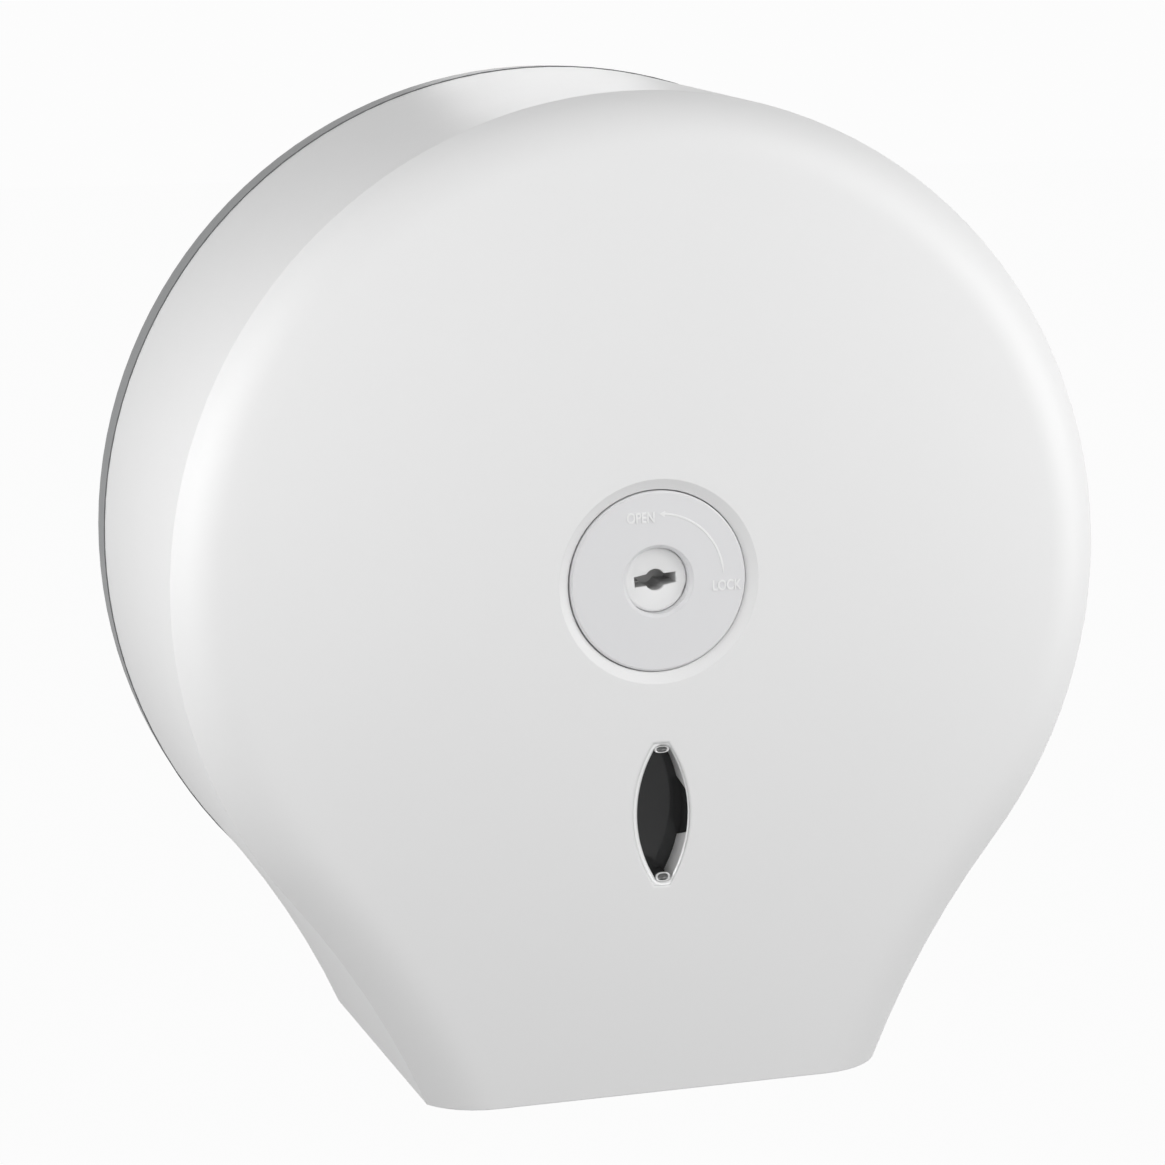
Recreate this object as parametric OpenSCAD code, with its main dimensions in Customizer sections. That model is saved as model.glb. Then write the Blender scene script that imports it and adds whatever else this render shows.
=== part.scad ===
/* [Outline] */
// Radius of the round body
round_r = 135; // [125:1:145]
// Height of the foot's lower edge below the spindle axis
foot_drop = 142.5; // [138:0.5:150]
// Half width of the foot at its lower edge
foot_half = 70.5; // [64:0.5:76]
// Radius of the hollow curve between the round body and the foot
waist_r = 240; // [180:5:300]
// Depth of the whole dispenser in front of the wall
body_depth = 119; // [112:1:130]

/* [Front cover] */
// Wall thickness of the cover
cover_wall = 2.5; // [2:0.1:3.2]
// Inward lean of the cover's side wall from its rear edge to the front rounding
side_lean = 5; // [3:0.5:7]
// Width of the front rounding, seen from the front
round_width = 16.25; // [12:0.25:19]
// Depth of the front rounding, seen from the side
round_depth = 9.4; // [7:0.2:11]
// Inset of the cover's rear edge from the base rim
rim_step = 0.3; // [0.2:0.1:1]
// Gap between the base rim and the cover's rear edge
shut_gap = 0.3; // [0.2:0.1:0.6]

/* [Back plate] */
// Depth of the visible rim of the back plate
rim_depth = 13; // [11:0.5:16]
// Thickness of the rim wall
rim_wall = 4; // [3:0.5:5]
// Thickness of the panel
panel_t = 3; // [2.5:0.5:4]
// Depth of the ribbed recess behind the panel
rib_depth = 2; // [1.5:0.5:3]
// Number of radial ribs behind the panel
rib_count = 12; // [8:1:16]
// Height of the locating lip above the rim
lip_height = 7; // [5:0.5:9]
// Sideways distance between the wall screw holes
wall_hole_x = 150; // [130:2:160]
// Upright distance between the wall screw holes
wall_hole_z = 110; // [90:2:120]
// Radius of the wall screw holes
wall_hole_r = 2.75; // [2:0.25:3.5]

/* [Spindle] */
// Outer radius of the fixed spindle post
post_r = 17; // [16.5:0.5:18]
// Bore radius of the hollow post
post_bore_r = 13; // [12.5:0.25:13.5]
// Outer radius of the turning core sleeve
sleeve_r = 22; // [20.5:0.5:25]
// Radius of the disc behind the roll
disc_r = 42; // [36:1:55]
// Radial running clearance
run_gap = 0.08; // [0.04:0.02:0.1]

/* [Lock] */
// Radius of the round dial
dial_r = 24.5; // [23:0.5:27]
// Width of the sloped dish round the dial
dish_w = 3; // [2:0.25:4]
// Radius of the key recess
recess_r = 9; // [8:0.25:9.5]
// Depth of the key recess below the dial's face
recess_depth = 10; // [8:0.5:11]
// Length of the key slot
slot_len = 11.6; // [9:0.2:13]
// Width of the key slot
slot_w = 2.8; // [2:0.2:3.4]
// Radius of the round middle of the keyhole
key_pin_r = 2.9; // [2:0.1:3.4]
// Length of the locking bar
bar_len = 23; // [20:0.5:23]
// Angle that the barrel turns from locked to open
lock_turn = 90; // [60:5:90]

/* [Window] */
// Height of the window opening
window_h = 39.6; // [34:0.2:41]
// Width of the window opening
window_w = 16; // [14:0.5:20]
// Radius of the curve of the window's two sides
window_side_r = 36; // [33:1:60]
// Distance of the window's middle below the spindle axis
window_drop = 64; // [60:0.5:70]
// Depth of the collar inside the window opening
collar_depth = 9; // [6:0.5:11]
// Height of the notch in the collar's sides, at its rear edge
notch_h = 17; // [10:0.5:20]

/* [Hinge and tear edges] */
// Distance of the hinge axis in front of the wall
hinge_out = 8; // [7:0.5:10]
// Height of the hinge axis above the foot's lower edge
hinge_up = 6; // [5.5:0.25:7]
// Radius of the hinge pins
hinge_pin_r = 2; // [1.5:0.25:2.5]
// Number of teeth on each tear strip
tooth_count = 18; // [12:1:24]
// Length of each tear strip
strip_len = 62; // [50:1:70]

/* [Hidden] */
$fn = 72;

// Colours as seen on the object
white_shell = [0.93, 0.93, 0.93];
base_grey = [0.5, 0.51, 0.52];
dial_grey = [0.85, 0.85, 0.86];
barrel_white = [0.95, 0.95, 0.95];
smoke = [0.12, 0.12, 0.12, 0.6];
steel = [0.72, 0.73, 0.75];
zinc = [0.6, 0.62, 0.64];
nylon = [0.88, 0.88, 0.84];

// Small overlap that makes joined solids share volume
weld = 0.5;
// Gap between fixed pieces that sit on each other
seat_gap = 0.2;
// Gap between curved faces that do not touch
face_gap = 0.3;
// How far a cutting body runs past the face it cuts
past = 1;
// Clearance of screws and pins that are held tight in their holes
tight = 0.02;

// Outline of the body: a circle joined to the foot by a hollow curve on each side.
// The hollow curve touches the circle and ends at the foot's lower corner.
foot_corner = [foot_half, -foot_drop];
corner_reach = norm(foot_corner);
centre_reach = round_r + waist_r;
along = (centre_reach*centre_reach - waist_r*waist_r + corner_reach*corner_reach)/(2*corner_reach);
across = sqrt(centre_reach*centre_reach - along*along);
waist_centre = along*foot_corner/corner_reach
  + across*[foot_drop, foot_half]/corner_reach;
waist_angle = atan2(waist_centre[1], waist_centre[0]);
outline_steps = 43;
waist_steps = 6;

function on_circle(r, a) = [r*cos(a), r*sin(a)];
// Angle on the hollow curve where it reaches the foot's lower edge
function foot_angle(inset) =
  180 - asin((-foot_drop - waist_centre[1])/(waist_r + inset));
function right_outline(inset) = concat(
  [for (i = [0:outline_steps])
    on_circle(round_r - inset, 90 - (90 - waist_angle)*i/outline_steps)],
  [for (i = [1:waist_steps])
    let (a = 180 + waist_angle + (foot_angle(inset) - 180 - waist_angle)*i/waist_steps)
    waist_centre + on_circle(waist_r + inset, a)]
);
function mirrored(points) = [for (i = [len(points) - 1:-1:1]) [-points[i][0], points[i][1]]];
function outline(inset) = let (right = right_outline(inset)) concat(mirrored(right), right);
// Half width of the outline at a height between the waist and the foot's lower edge
function foot_x(inset, y) =
  waist_centre[0] - sqrt(pow(waist_r + inset, 2) - pow(y - waist_centre[1], 2));

// Section of the cover: a leaning side wall, a crease and a round edge that runs flat
// into the front. Each point is [inset, depth].
cover_rear = rim_depth + shut_gap;
crease_depth = body_depth - round_depth;
edge_r = (round_width*round_width + round_depth*round_depth)/(2*round_depth);
edge_centre = [rim_step + side_lean + round_width, body_depth - edge_r];
lean_angle = atan2(side_lean, crease_depth - cover_rear);
edge_steps = 6;
function side_inset(depth, offset) =
  rim_step + (depth - cover_rear)*tan(lean_angle) + offset/cos(lean_angle);
// Depth where the side wall, moved inward by offset, meets the round edge
function crease_at(offset) =
  let (
    m = tan(lean_angle),
    k = side_inset(0, offset) - edge_centre[0],
    a = 1 + m*m,
    b = 2*(m*k - edge_centre[1]),
    c = k*k + edge_centre[1]*edge_centre[1] - pow(edge_r - offset, 2)
  )
  (-b + sqrt(b*b - 4*a*c))/(2*a);
function section(offset) =
  let (
    crease = crease_at(offset),
    r = edge_r - offset,
    start = asin((edge_centre[0] - side_inset(crease, offset))/r)
  )
  concat(
    [[side_inset(cover_rear, offset), cover_rear]],
    [for (i = [0:edge_steps])
      let (a = start*(1 - i/edge_steps))
      [edge_centre[0] - r*sin(a), edge_centre[1] + r*cos(a)]]
  );

// The cover's skin as one closed body: rings of the outline along the outer section and
// back along the inner one, closed at the rear edge, the front and the two foot ends.
module cover_skin() {
  outer = section(0);
  inner = section(cover_wall);
  rows = len(outer);
  cols = len(outline(0));
  fan_height = -round_r/12;
  points = concat(
    [for (p = outer) for (q = outline(p[0])) [q[0], q[1], p[1]]],
    [for (p = inner) for (q = outline(p[0])) [q[0], q[1], p[1]]],
    [[0, fan_height, body_depth], [0, fan_height, body_depth - cover_wall]]
  );
  inside = rows*cols;
  front = (rows - 1)*cols;
  last = cols - 1;
  mid = 2*inside;
  faces = concat(
    [for (k = [0:rows - 2]) for (i = [0:cols - 2]) each let (a = k*cols + i)
      [[a, a + 1, a + cols + 1], [a, a + cols + 1, a + cols],
       [inside + a, inside + a + cols + 1, inside + a + 1],
       [inside + a, inside + a + cols, inside + a + cols + 1]]],
    [for (i = [0:cols - 2]) each
      [[i + 1, i, inside + i], [i + 1, inside + i, inside + i + 1],
       [mid, front + i, front + i + 1],
       [mid + 1, inside + front + i + 1, inside + front + i]]],
    [for (k = [0:rows - 2]) each let (a = k*cols, b = k*cols + last)
      [[a, a + cols, inside + a + cols], [a, inside + a + cols, inside + a],
       [inside + b, inside + b + cols, b + cols], [inside + b, b + cols, b]]],
    [[mid, front + last, front], [mid + 1, inside + front, inside + front + last],
     [inside + front, front, front + last],
     [inside + front, front + last, inside + front + last]]
  );
  polyhedron(points = points, faces = faces, convexity = 8);
}

// Parts are drawn lying on their backs, with x across, y up and z out from the wall.
module stand_up() {
  rotate([90, 0, 0]) children();
}

module tube(outer, inner, height) {
  difference() {
    cylinder(r = outer, h = height);
    translate([0, 0, -past]) cylinder(r = inner, h = height + 2*past);
  }
}

module at_each(places) {
  for (p = places) translate([p[0], p[1], 0]) children();
}

// Places along the depth, all measured from the wall
panel_front = rib_depth + panel_t;
post_flange_t = 4;
post_flange_r = 31;
post_seat = panel_front;
flange_front = post_seat + post_flange_t;
washer_t = 0.8;
disc_seat = 0.05;
sleeve_rear = flange_front + washer_t + 2*seat_gap;
shoulder_t = 1.5;
disc_t = 2.5;
disc_rear = sleeve_rear + shoulder_t + disc_seat;
cover_inside = body_depth - cover_wall;
dial_sink = 1;
dial_face = body_depth - dial_sink;
dial_t = 4.5;
ledge_front = dial_face - dial_t;
ledge_t = 3;
housing_front = ledge_front - ledge_t - seat_gap;
housing_flange_t = 2;
barrel_face = dial_face - recess_depth;
barrel_body_len = 5;
barrel_flange_front = barrel_face - barrel_body_len;
barrel_flange_t = 1.5;
spring_t = 1;
housing_floor_front = barrel_flange_front - barrel_flange_t - spring_t - 2*seat_gap;
housing_floor_t = 1.6;
housing_rear = housing_floor_front - housing_floor_t;
keeper_gap = 1.5;
keeper_front = housing_rear - keeper_gap;
keeper_t = 2;
post_front = keeper_front - keeper_t;
bar_gap = 1.2;
bar_t = 3;
bar_front = post_front - bar_gap;
bar_rear = bar_front - bar_t;
bar_screw_head_t = 2.1;
clip_t = 1.2;
clip_rear = bar_rear - bar_screw_head_t - clip_t - face_gap;
sleeve_front = clip_rear - seat_gap;

// Back plate
plate_rings = [60, 96];
ring_rib_w = 2;
hub_r = 36;
wall_holes = [for (x = [-1, 1], y = [-1, 1]) [x*wall_hole_x/2, y*wall_hole_z/2]];
wall_boss_r = 9;
wall_boss_h = 3;
screw_head_r = 5.5;
screw_head_deep = 2;
lip_wall = 2.5;
lip_gap = 1;
lip_outer = round_r - side_inset(cover_rear, cover_wall) - lip_gap;
lip_half_angle = 124;
pad_inset = 4;
pad_wall = 2.5;
pad_h = 42;
pad_rise = 4;
pad_top = -foot_drop + pad_h;
pad_bottom = -foot_drop + pad_rise;
hinge_y = -foot_drop + hinge_up;
arm_gap = 0.4;
arm_swing_gap = 0.8;
arm_t = 3.5;
arm_sink = 0.2;
arm_x = foot_x(side_inset(cover_rear, cover_wall), -foot_drop) - arm_t + arm_sink;
lug_t = 5;
lug_x = arm_x - arm_gap - lug_t;
eye_r = 5;
lug_drop = eye_r - 1;
lug_rise = eye_r + 5;
pad_low_x = arm_x - arm_gap;
pad_high_x = foot_x(side_inset(cover_rear, cover_wall), pad_top) - pad_inset;

module pad_shape(inset, down) {
  polygon([
    [-pad_high_x + inset, pad_top], [pad_high_x - inset, pad_top],
    [pad_low_x - inset, pad_bottom - down], [-pad_low_x + inset, pad_bottom - down]
  ]);
}

module back_recess() {
  below = -2*past;
  height = rib_depth - below + past;
  difference() {
    translate([0, 0, -past]) cylinder(r = round_r - rim_wall, h = rib_depth + past);
    translate([0, 0, below]) cylinder(r = hub_r, h = height);
    for (r = plate_rings) translate([0, 0, below]) tube(r + ring_rib_w, r, height);
    for (i = [0:rib_count - 1]) rotate([0, 0, (i + 0.5)*360/rib_count])
      translate([hub_r - weld, -ring_rib_w/2, below])
        cube([round_r - rim_wall - hub_r + 2*weld, ring_rib_w, height]);
    translate([0, 0, below]) at_each(wall_holes) cylinder(r = wall_boss_r, h = height);
    translate([-round_r, -2*round_r, below])
      cube([2*round_r, 2*round_r + pad_top + pad_inset, height]);
  }
}

module hinge_lug(side) {
  translate([side > 0 ? lug_x : -lug_x - lug_t, hinge_y, 0]) {
    translate([0, 0, hinge_out]) rotate([0, 90, 0]) cylinder(r = eye_r, h = lug_t);
    translate([0, -lug_drop, rib_depth]) cube([lug_t, lug_drop + lug_rise, hinge_out - rib_depth]);
  }
}

module back_plate() {
  color(base_grey) stand_up() difference() {
    union() {
      difference() {
        union() {
          cylinder(r = round_r, h = rim_depth);
          linear_extrude(rim_depth) pad_shape(0, 0);
        }
        translate([0, 0, panel_front]) {
          cylinder(r = round_r - rim_wall, h = rim_depth);
          linear_extrude(rim_depth) pad_shape(pad_wall, 2*hinge_up);
        }
        back_recess();
      }
      rotate([0, 0, 90 - lip_half_angle]) translate([0, 0, panel_front - weld])
        rotate_extrude(angle = 2*lip_half_angle)
          translate([lip_outer - lip_wall, 0])
            square([lip_wall, rim_depth + lip_height - panel_front + weld]);
      at_each(wall_holes) translate([0, 0, rib_depth])
        cylinder(r = wall_boss_r, h = panel_t + wall_boss_h);
      hinge_lug(1);
      hinge_lug(-1);
    }
    at_each(wall_holes) {
      translate([0, 0, -past]) cylinder(r = wall_hole_r, h = rim_depth);
      translate([0, 0, panel_front + wall_boss_h - screw_head_deep])
        cylinder(r = screw_head_r, h = rim_depth);
    }
    at_each(post_screws) translate([0, 0, post_screw_tip - weld])
      cylinder(r = post_screw_r, h = rim_depth);
    translate([-round_r, hinge_y, hinge_out]) rotate([0, 90, 0])
      cylinder(r = hinge_pin_r, h = 2*round_r);
    // Room for the cover's hinge arms beside the lugs
    for (k = [0, 1]) mirror([k, 0, 0])
      translate([arm_x - arm_gap, -foot_drop - past, -past])
        cube([round_r, hinge_up + eye_r + arm_swing_gap + past, rim_depth + 2*past]);
  }
}

// Spindle post with its flange, the screws that hold it and the keeper on its end
post_screw_ring = 25;
post_screw_r = 2;
post_screw_tip = 1;
post_screw_head_r = 3.6;
post_screw_head_t = 2.2;
post_screw_count = 3;
post_head_seat = flange_front - post_screw_head_t - seat_gap;
post_screws = [for (i = [0:post_screw_count - 1])
  on_circle(post_screw_ring, 90 + i*360/post_screw_count)];
keeper_screw_r = 1.25;
keeper_screw_head_r = 2.2;
keeper_screw_head_t = 1.2;
keeper_screw_len = 8;
keeper_screw_play = 0.15;
keeper_boss_r = keeper_screw_r + 1.35;
keeper_boss_len = 12;
keeper_inset = 0.3;
keeper_seat = 0.05;
bar_sweep_gap = 0.5;
keeper_screw_ring = bar_len/2 + bar_sweep_gap + keeper_boss_r;
keeper_places = [for (a = [45, 135]) on_circle(keeper_screw_ring, a)];
stem_r = 4.5;
slot_play = 0.7;
keeper_slot_half = stem_r + slot_play;
clip_groove = 0.8;
clip_play = 0.05;

// Room for a stem that leaves sideways, downward
module drop_slot(height) {
  translate([-keeper_slot_half, -post_r - past, -past])
    cube([2*keeper_slot_half, post_r + past, height + 2*past]);
}

module spindle_post() {
  color(barrel_white) stand_up() difference() {
    union() {
      translate([0, 0, post_seat]) cylinder(r = post_flange_r, h = post_flange_t);
      translate([0, 0, post_seat]) difference() {
        cylinder(r = post_r, h = post_front - post_seat);
        translate([0, 0, post_flange_t]) cylinder(r = post_bore_r, h = post_front);
      }
      intersection() {
        translate([0, 0, post_front - keeper_boss_len]) at_each(keeper_places)
          cylinder(r = keeper_boss_r, h = keeper_boss_len);
        cylinder(r = post_r, h = post_front);
      }
    }
    at_each(post_screws) {
      translate([0, 0, post_seat - past]) cylinder(r = post_screw_r, h = post_flange_t + 2*past);
      translate([0, 0, post_head_seat])
        cylinder(r = post_screw_head_r + seat_gap, h = post_flange_t);
    }
    translate([0, 0, post_front - keeper_screw_len]) at_each(keeper_places)
      cylinder(r = keeper_screw_r, h = keeper_screw_len + past);
    // Way out for the locking bar, which drops as the cover swings open
    translate([0, 0, bar_rear]) drop_slot(post_front);
    translate([0, 0, clip_rear - clip_play])
      tube(post_r + past, post_r - clip_groove, clip_t + 2*clip_play);
  }
}

module spindle_screws() {
  color(zinc) stand_up() at_each(post_screws) {
    translate([0, 0, post_screw_tip])
      cylinder(r = post_screw_r - tight, h = post_head_seat - post_screw_tip);
    difference() {
      translate([0, 0, post_head_seat]) cylinder(r = post_screw_head_r, h = post_screw_head_t);
      translate([0, 0, post_head_seat + post_screw_head_t/2]) cross_recess(post_screw_head_r);
    }
  }
}

// Cross recess of a screw head, open toward the front
module cross_recess(span) {
  for (a = [0, 90]) rotate([0, 0, a]) translate([-span/2, -span/8, 0]) cube([span, span/4, span]);
}

module latch_keeper() {
  color(steel) stand_up() translate([0, 0, post_front + keeper_seat]) difference() {
    cylinder(r = post_r - keeper_inset, h = keeper_t - keeper_seat);
    drop_slot(keeper_t);
    translate([0, 0, -past]) {
      linear_extrude(keeper_t + 2*past) intersection() {
        circle(r = bar_len/2 + bar_sweep_gap);
        translate([-keeper_slot_half, -past]) square([2*keeper_slot_half, post_r]);
      }
      at_each(keeper_places)
        cylinder(r = keeper_screw_r + keeper_screw_play, h = keeper_t + 2*past);
    }
  }
}

module keeper_screws() {
  shank = keeper_screw_len + keeper_t - weld;
  color(zinc) stand_up() at_each(keeper_places) translate([0, 0, keeper_front]) {
    translate([0, 0, -shank]) cylinder(r = keeper_screw_r - tight, h = shank);
    difference() {
      cylinder(r = keeper_screw_head_r, h = keeper_screw_head_t);
      translate([0, 0, keeper_screw_head_t/2]) cross_recess(keeper_screw_head_r);
    }
  }
}

clip_inset = 0.1;
clip_w = 3.7;
pin_proud = 1;
pin_sink = 0.4;

// Turning sleeve that carries the roll's core
sleeve_bore = post_r + run_gap;
shoulder_r = sleeve_r + 3;
lead_in = 1.5;
groove_count = 6;
groove_w = 3;
groove_deep = 1;
groove_start = 5;
washer_w = 6;
disc_hole_count = 6;
disc_hole_r = (disc_r - shoulder_r)/4;

module thrust_washer() {
  color(nylon) stand_up() translate([0, 0, flange_front + seat_gap])
    tube(post_r + washer_w, post_r + seat_gap, washer_t);
}

module core_sleeve() {
  color(nylon) stand_up() difference() {
    union() {
      translate([0, 0, sleeve_rear]) cylinder(r = sleeve_r, h = sleeve_front - sleeve_rear - lead_in);
      translate([0, 0, sleeve_rear]) cylinder(r = shoulder_r, h = shoulder_t);
      translate([0, 0, sleeve_front - lead_in])
        cylinder(r1 = sleeve_r, r2 = sleeve_r - lead_in, h = lead_in);
    }
    translate([0, 0, sleeve_rear - past]) cylinder(r = sleeve_bore, h = sleeve_front);
    for (i = [0:groove_count - 1]) rotate([0, 0, i*360/groove_count])
      translate([sleeve_r - groove_deep, -groove_w/2, disc_rear + disc_t + groove_start])
        cube([groove_deep + past, groove_w, sleeve_front]);
  }
}

module roll_stop_disc() {
  hole_ring = (shoulder_r + disc_r)/2;
  color(nylon) stand_up() translate([0, 0, disc_rear]) difference() {
    cylinder(r = disc_r, h = disc_t);
    translate([0, 0, -past]) cylinder(r = sleeve_r + disc_seat, h = disc_t + 2*past);
    for (i = [0:disc_hole_count - 1]) rotate([0, 0, (i + 0.5)*360/disc_hole_count])
      translate([hole_ring, 0, -past]) cylinder(r = disc_hole_r, h = disc_t + 2*past);
  }
}

// Spring clip in the post's groove, open over a quarter turn
module sleeve_retaining_clip() {
  color(steel) stand_up() translate([0, 0, clip_rear]) rotate([0, 0, -45])
    rotate_extrude(angle = 270) translate([post_r - clip_groove + clip_inset, 0])
      square([clip_w, clip_t]);
}

// Hinge arms of the cover and their webs to the side wall
web_len = 16;
web_t = 2;
web_reach = 0.6;
web_trim = 0.6;

// Collar of the window, and the lens behind it
collar_wall = 1.6;
collar_rear = body_depth - collar_depth;
notch_skin = 1.3;
notch_front_h = 0.69*notch_h;
lens_t = 1.6;
lens_gap = 0.1;
hook_gap = 0.2;
hook_h = 2.6;
hook_w = 4.5;
hook_sink = 1;

// Lock: dial with hub, housing behind it, barrel, spring washer and locking bar
dial_gap = 0.35;
seat_r = dial_r + dial_gap;
dial_edge = 0.5;
recess_edge = 0.9;
dish_depth = 2;
boss_wall = 3;
boss_r = seat_r + boss_wall;
gusset_t = 1.8;
gusset_h = 5;
gusset_end = 0.72*round_r;
gusset_angles = [0, 45, 90, 135, 180, 225, 315];
hub_wall = 3.5;
hub_outer = recess_r + hub_wall;
housing_wall = 2;
housing_gap = 1.7;
housing_inner = hub_outer + face_gap;
housing_outer = housing_inner + housing_wall;
housing_flange_r = dial_r - 1.5;
ledge_hole_r = housing_outer + housing_gap;
housing_screw_r = 1.5;
housing_screw_play = 0.2;
housing_screw_grip = 3;
housing_head_r = 2.7;
housing_head_t = 1.8;
housing_screw_count = 3;
housing_screw_ring = (ledge_hole_r + housing_flange_r)/2;
housing_screws_at = [for (i = [0:housing_screw_count - 1])
  on_circle(housing_screw_ring, 90 + i*360/housing_screw_count)];
barrel_r = recess_r - run_gap;
flange_r = recess_r + 2.2;
flange_play = 0.25;
stop_r = housing_inner - face_gap;
stop_angle = 14;
stop_play = 1.5;
track_play = 0.15;
stem_half = 0.62*stem_r;
bar_w = 8;
bar_play = 0.1;
bar_screw_r = 1.5;
bar_screw_len = 8.5;
bar_screw_head_r = 3.8;

// Tear strips: serrated plates riveted inside the foot's side walls
strip_t = 1;
strip_h = 11;
strip_show = 1;
strip_front_gap = 2;
strip_start = crease_at(cover_wall) - strip_front_gap - strip_len;
tooth_h = 1.6;
wall_lean = foot_angle(0) - 90;
rivet_r = 1.5;
rivet_play = 0.1;
rivet_head_r = 2.7;
rivet_head_t = 0.8;
rivet_rise = 0.6*strip_h;
rivet_at = [8, strip_len - 8];

// Hinge pins through the lugs of the back plate and the arms of the cover
module hinge_pin(side) {
  pin_start = lug_x - pin_proud;
  pin_len = arm_x + arm_t - pin_start - pin_sink;
  color(steel) stand_up() translate([side > 0 ? pin_start : -pin_start - pin_len, hinge_y, hinge_out])
    rotate([0, 90, 0]) cylinder(r = hinge_pin_r - tight, h = pin_len);
}
module hinge_pin_left() {
  hinge_pin(-1);
}
module hinge_pin_right() {
  hinge_pin(1);
}

// Window opening: two side arcs cut off by a flatter arc above and below
module window_shape(grow) {
  reach = window_side_r - window_w/2;
  intersection() {
    translate([-reach, 0]) circle(r = window_side_r + grow);
    translate([reach, 0]) circle(r = window_side_r + grow);
    circle(r = window_h/2 + grow);
  }
}
module at_window() {
  translate([0, -window_drop, 0]) children();
}

// Notch across the collar, wider at its rear edge than at the front
module collar_notch() {
  half = window_w/2 + collar_wall + past;
  translate([-half, 0, 0]) rotate([90, 0, 90]) linear_extrude(2*half) polygon([
    [-notch_h/2, collar_rear - past], [notch_h/2, collar_rear - past],
    [notch_front_h/2, body_depth - notch_skin], [-notch_front_h/2, body_depth - notch_skin]
  ]);
}

module hinge_arm(side) {
  webs_end = cover_rear + web_len;
  low = -foot_drop;
  high = hinge_y + eye_r;
  mid_wall = side_inset(cover_rear, web_reach*cover_wall);
  mirror([side > 0 ? 0 : 1, 0, 0]) {
    translate([arm_x, hinge_y, hinge_out]) rotate([0, 90, 0]) cylinder(r = eye_r, h = arm_t);
    translate([arm_x, low, hinge_out]) cube([arm_t, high - low, webs_end - hinge_out]);
    translate([arm_x, low, cover_rear])
      cube([foot_x(mid_wall, low) - arm_x, web_t, webs_end - cover_rear]);
    translate([arm_x, high - web_t, cover_rear])
      cube([foot_x(mid_wall, high - web_t) - arm_x - web_trim, web_t, webs_end - cover_rear]);
  }
}

module front_cover() {
  dish_over = 1.5;
  color(white_shell) stand_up() difference() {
    union() {
      cover_skin();
      translate([0, 0, ledge_front - ledge_t])
        cylinder(r = boss_r, h = body_depth - cover_wall/2 - ledge_front + ledge_t);
      at_window() translate([0, 0, collar_rear])
        linear_extrude(collar_depth - cover_wall/2) window_shape(collar_wall);
      for (a = gusset_angles) rotate([0, 0, a])
        translate([boss_r - past, -gusset_t/2, cover_inside - gusset_h])
          cube([gusset_end - boss_r, gusset_t, gusset_h + cover_wall/2]);
      hinge_arm(1);
      hinge_arm(-1);
    }
    // Dish, dial seat and the way through for the housing
    translate([0, 0, body_depth - dish_depth])
      cylinder(r1 = seat_r, r2 = seat_r + dish_over*dish_w, h = dish_over*dish_depth);
    translate([0, 0, ledge_front]) cylinder(r = seat_r, h = dial_t + boss_wall);
    cylinder(r = ledge_hole_r, h = body_depth);
    at_each(housing_screws_at) cylinder(r = housing_screw_r + housing_screw_play, h = body_depth);
    at_window() {
      translate([0, 0, collar_rear - past])
        linear_extrude(collar_depth + 2*past) window_shape(0);
      collar_notch();
    }
    // Bores for the hinge pins
    for (k = [-1, 1]) translate([k*(arm_x + arm_t/2), hinge_y, hinge_out]) rotate([0, 90, 0])
      cylinder(r = hinge_pin_r - tight + run_gap, h = 2*arm_t, center = true);
  }
}

// Smoked lens: a plate seated behind the collar, with a hook in each tip of the opening
module window_lens() {
  color(smoke) stand_up() at_window() {
    translate([0, 0, collar_rear - lens_gap - lens_t])
      linear_extrude(lens_t) window_shape(collar_wall);
    translate([0, 0, collar_rear - lens_gap - weld])
      linear_extrude(collar_depth + lens_gap + weld - hook_sink) intersection() {
        window_shape(-hook_gap);
        for (k = [0, 1]) mirror([0, k]) translate([-hook_w/2, window_h/2 - hook_h])
          square([hook_w, hook_h]);
      }
  }
}

module lock_dial() {
  color(dial_grey) stand_up() difference() {
    union() {
      translate([0, 0, ledge_front + seat_gap/2])
        cylinder(r = dial_r, h = dial_t - seat_gap/2 - dial_edge);
      translate([0, 0, dial_face - dial_edge])
        cylinder(r1 = dial_r, r2 = dial_r - dial_edge, h = dial_edge);
      translate([0, 0, barrel_flange_front + seat_gap/2])
        cylinder(r = hub_outer, h = dial_face - barrel_flange_front - past);
    }
    translate([0, 0, barrel_flange_front - past]) cylinder(r = recess_r, h = body_depth);
    translate([0, 0, dial_face - recess_edge])
      cylinder(r1 = recess_r, r2 = recess_r + 2*recess_edge, h = 2*recess_edge);
    at_each(housing_screws_at) translate([0, 0, ledge_front - past])
      cylinder(r = housing_screw_r, h = housing_screw_grip + weld + past);
  }
}

module sector(radius, height, from, to) {
  rotate([0, 0, from]) rotate_extrude(angle = to - from) square([radius, height]);
}

module lock_housing() {
  track_front = barrel_flange_front + seat_gap;
  color(nylon) stand_up() difference() {
    union() {
      translate([0, 0, housing_rear]) cylinder(r = housing_outer, h = housing_front - housing_rear);
      translate([0, 0, housing_front - housing_flange_t])
        cylinder(r = housing_flange_r, h = housing_flange_t);
      translate([0, 0, housing_front - weld]) cylinder(r = housing_outer, h = weld + ledge_t/2);
    }
    translate([0, 0, housing_rear - past]) cylinder(r = stem_r + run_gap, h = body_depth);
    translate([0, 0, housing_floor_front]) {
      cylinder(r = flange_r + flange_play, h = body_depth);
      // Track for the stop lug, as wide as the turn of the barrel
      sector(stop_r + track_play, track_front - housing_floor_front,
        -stop_angle/2 - stop_play, lock_turn + stop_angle/2 + stop_play);
    }
    translate([0, 0, barrel_flange_front]) cylinder(r = housing_inner, h = body_depth);
    at_each(housing_screws_at) translate([0, 0, housing_front - housing_flange_t - past])
      cylinder(r = housing_screw_r + housing_screw_play, h = body_depth);
  }
}

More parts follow.
